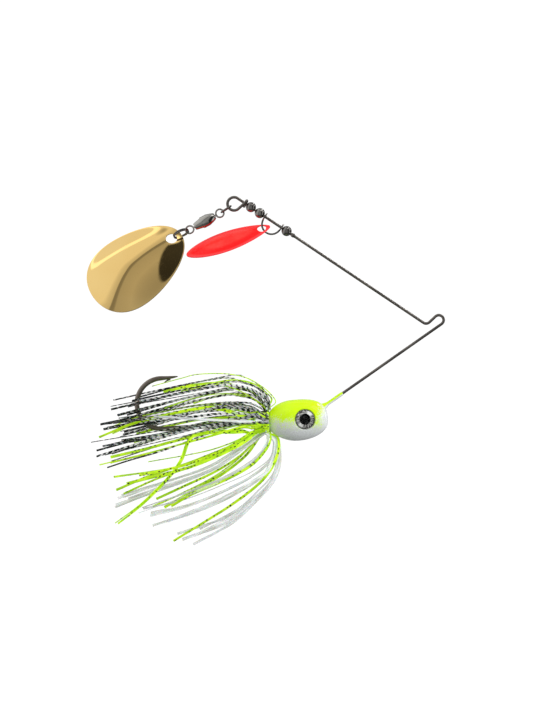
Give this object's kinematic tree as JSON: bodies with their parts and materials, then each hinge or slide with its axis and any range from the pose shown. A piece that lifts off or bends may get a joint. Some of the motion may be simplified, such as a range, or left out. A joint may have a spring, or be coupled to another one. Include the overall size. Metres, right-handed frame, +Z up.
{
  "type": "spinnerbait",
  "caption": "Safety-pin wire lure: painted lead head, hook and skirt on the lower arm, a willow blade on a clevis and a rounded blade on a swivel on the upper arm.",
  "frame": {"origin": "centre of the line-tie bend, in the plane of the wire form", "axes": "+X is the direction of pull, +Z is up towards the blades, +Y is across the wire form"},
  "size_m": [0.1111, 0.0248, 0.1074],
  "materials": {
    "wire_steel": "drawn stainless wire",
    "hook_steel": "dark bronzed",
    "head_paint": "gloss chartreuse over pearl white, on cast lead",
    "eye_foil": "bright foil",
    "eye_pupil": "gloss black",
    "eye_dome": "clear",
    "band_rubber": "satin",
    "skirt_barred": "clear silicone with black bars",
    "skirt_chartreuse": "chartreuse silicone with black flecks",
    "skirt_white": "pearl white translucent silicone",
    "bead_nickel": "polished",
    "fitting_steel": "nickel plated",
    "swivel_nickel": "polished nickel",
    "blade_red": "gloss fluorescent red",
    "blade_gold": "polished gold plate"
  },
  "bodies": {
    "frame": {"wire_form": "wire_steel", "hook": "hook_steel", "lead_head": "head_paint", "eye_iris_left": "eye_foil", "eye_iris_right": "eye_foil", "eye_pupil_left": "eye_pupil", "eye_pupil_right": "eye_pupil", "eye_dome_left": "eye_dome", "eye_dome_right": "eye_dome", "skirt_band": "band_rubber", "skirt_barred_1": "skirt_barred", "skirt_barred_2": "skirt_barred", "skirt_barred_3": "skirt_barred", "skirt_barred_4": "skirt_barred", "skirt_barred_5": "skirt_barred", "skirt_barred_6": "skirt_barred", "skirt_chartreuse_1": "skirt_chartreuse", "skirt_chartreuse_2": "skirt_chartreuse", "skirt_chartreuse_3": "skirt_chartreuse", "skirt_chartreuse_4": "skirt_chartreuse", "skirt_chartreuse_5": "skirt_chartreuse", "skirt_chartreuse_6": "skirt_chartreuse", "skirt_white_1": "skirt_white", "skirt_white_2": "skirt_white", "skirt_white_3": "skirt_white", "skirt_white_4": "skirt_white"},
    "bead_rear": {"bead_rear": "bead_nickel"},
    "bead_middle": {"bead_middle": "bead_nickel"},
    "bead_front": {"bead_front": "bead_nickel"},
    "clevis": {"clevis": "fitting_steel"},
    "front_blade": {"front_blade": "blade_red"},
    "swivel_ring": {"swivel_ring": "fitting_steel"},
    "swivel_upper_eye": {"swivel_upper_eye": "swivel_nickel"},
    "swivel_barrel": {"swivel_barrel": "swivel_nickel", "swivel_upper_bearing": "fitting_steel", "swivel_lower_bearing": "fitting_steel"},
    "swivel_lower_eye": {"swivel_lower_eye": "swivel_nickel"},
    "split_ring": {"split_ring": "fitting_steel"},
    "rear_blade": {"rear_blade": "blade_gold"}
  },
  "joints": [
    {"name": "bead_rear_spin", "type": "hinge", "parent": "frame", "child": "bead_rear", "pos_m": [-0.06011, 0, 0.03622], "axis": [0.831, 0, -0.5563], "continuous": true},
    {"name": "bead_middle_spin", "type": "hinge", "parent": "frame", "child": "bead_middle", "pos_m": [-0.06011, 0, 0.03622], "axis": [0.831, 0, -0.5563], "continuous": true},
    {"name": "bead_front_spin", "type": "hinge", "parent": "frame", "child": "bead_front", "pos_m": [-0.06011, 0, 0.03622], "axis": [0.831, 0, -0.5563], "continuous": true},
    {"name": "clevis_spin", "type": "hinge", "parent": "frame", "child": "clevis", "pos_m": [-0.06011, 0, 0.03622], "axis": [0.831, 0, -0.5563], "continuous": true},
    {"name": "front_blade_swing", "type": "hinge", "parent": "clevis", "child": "front_blade", "pos_m": [-0.05463, 0, 0.02852], "axis": [0, -1, 0], "range_deg": [-6, 45]},
    {"name": "ring_swing", "type": "hinge", "parent": "frame", "child": "swivel_ring", "pos_m": [-0.06514, -0.00061, 0.03484], "axis": [0.5592, 0, -0.829], "range_deg": [-35, 35]},
    {"name": "swivel_pitch", "type": "hinge", "parent": "swivel_ring", "child": "swivel_upper_eye", "pos_m": [-0.06736, -0.00061, 0.03335], "axis": [0, 1, 0], "range_deg": [-3, 55]},
    {"name": "barrel_spin", "type": "hinge", "parent": "swivel_upper_eye", "child": "swivel_barrel", "pos_m": [-0.06937, -0.00061, 0.03225], "axis": [-0.878, 0, -0.4787], "continuous": true},
    {"name": "lower_eye_spin", "type": "hinge", "parent": "swivel_barrel", "child": "swivel_lower_eye", "pos_m": [-0.07569, -0.00061, 0.02881], "axis": [-0.878, 0, -0.4787], "continuous": true},
    {"name": "split_ring_swing", "type": "hinge", "parent": "swivel_lower_eye", "child": "split_ring", "pos_m": [-0.07832, -0.00057, 0.02748], "axis": [0.378, -0.3409, -0.8608], "range_deg": [-50, 20]},
    {"name": "rear_blade_swing", "type": "hinge", "parent": "split_ring", "child": "rear_blade", "pos_m": [-0.08205, -0.00046, 0.02579], "axis": [0.1637, 0.9397, -0.3003], "range_deg": [-12, 45]}
  ]
}
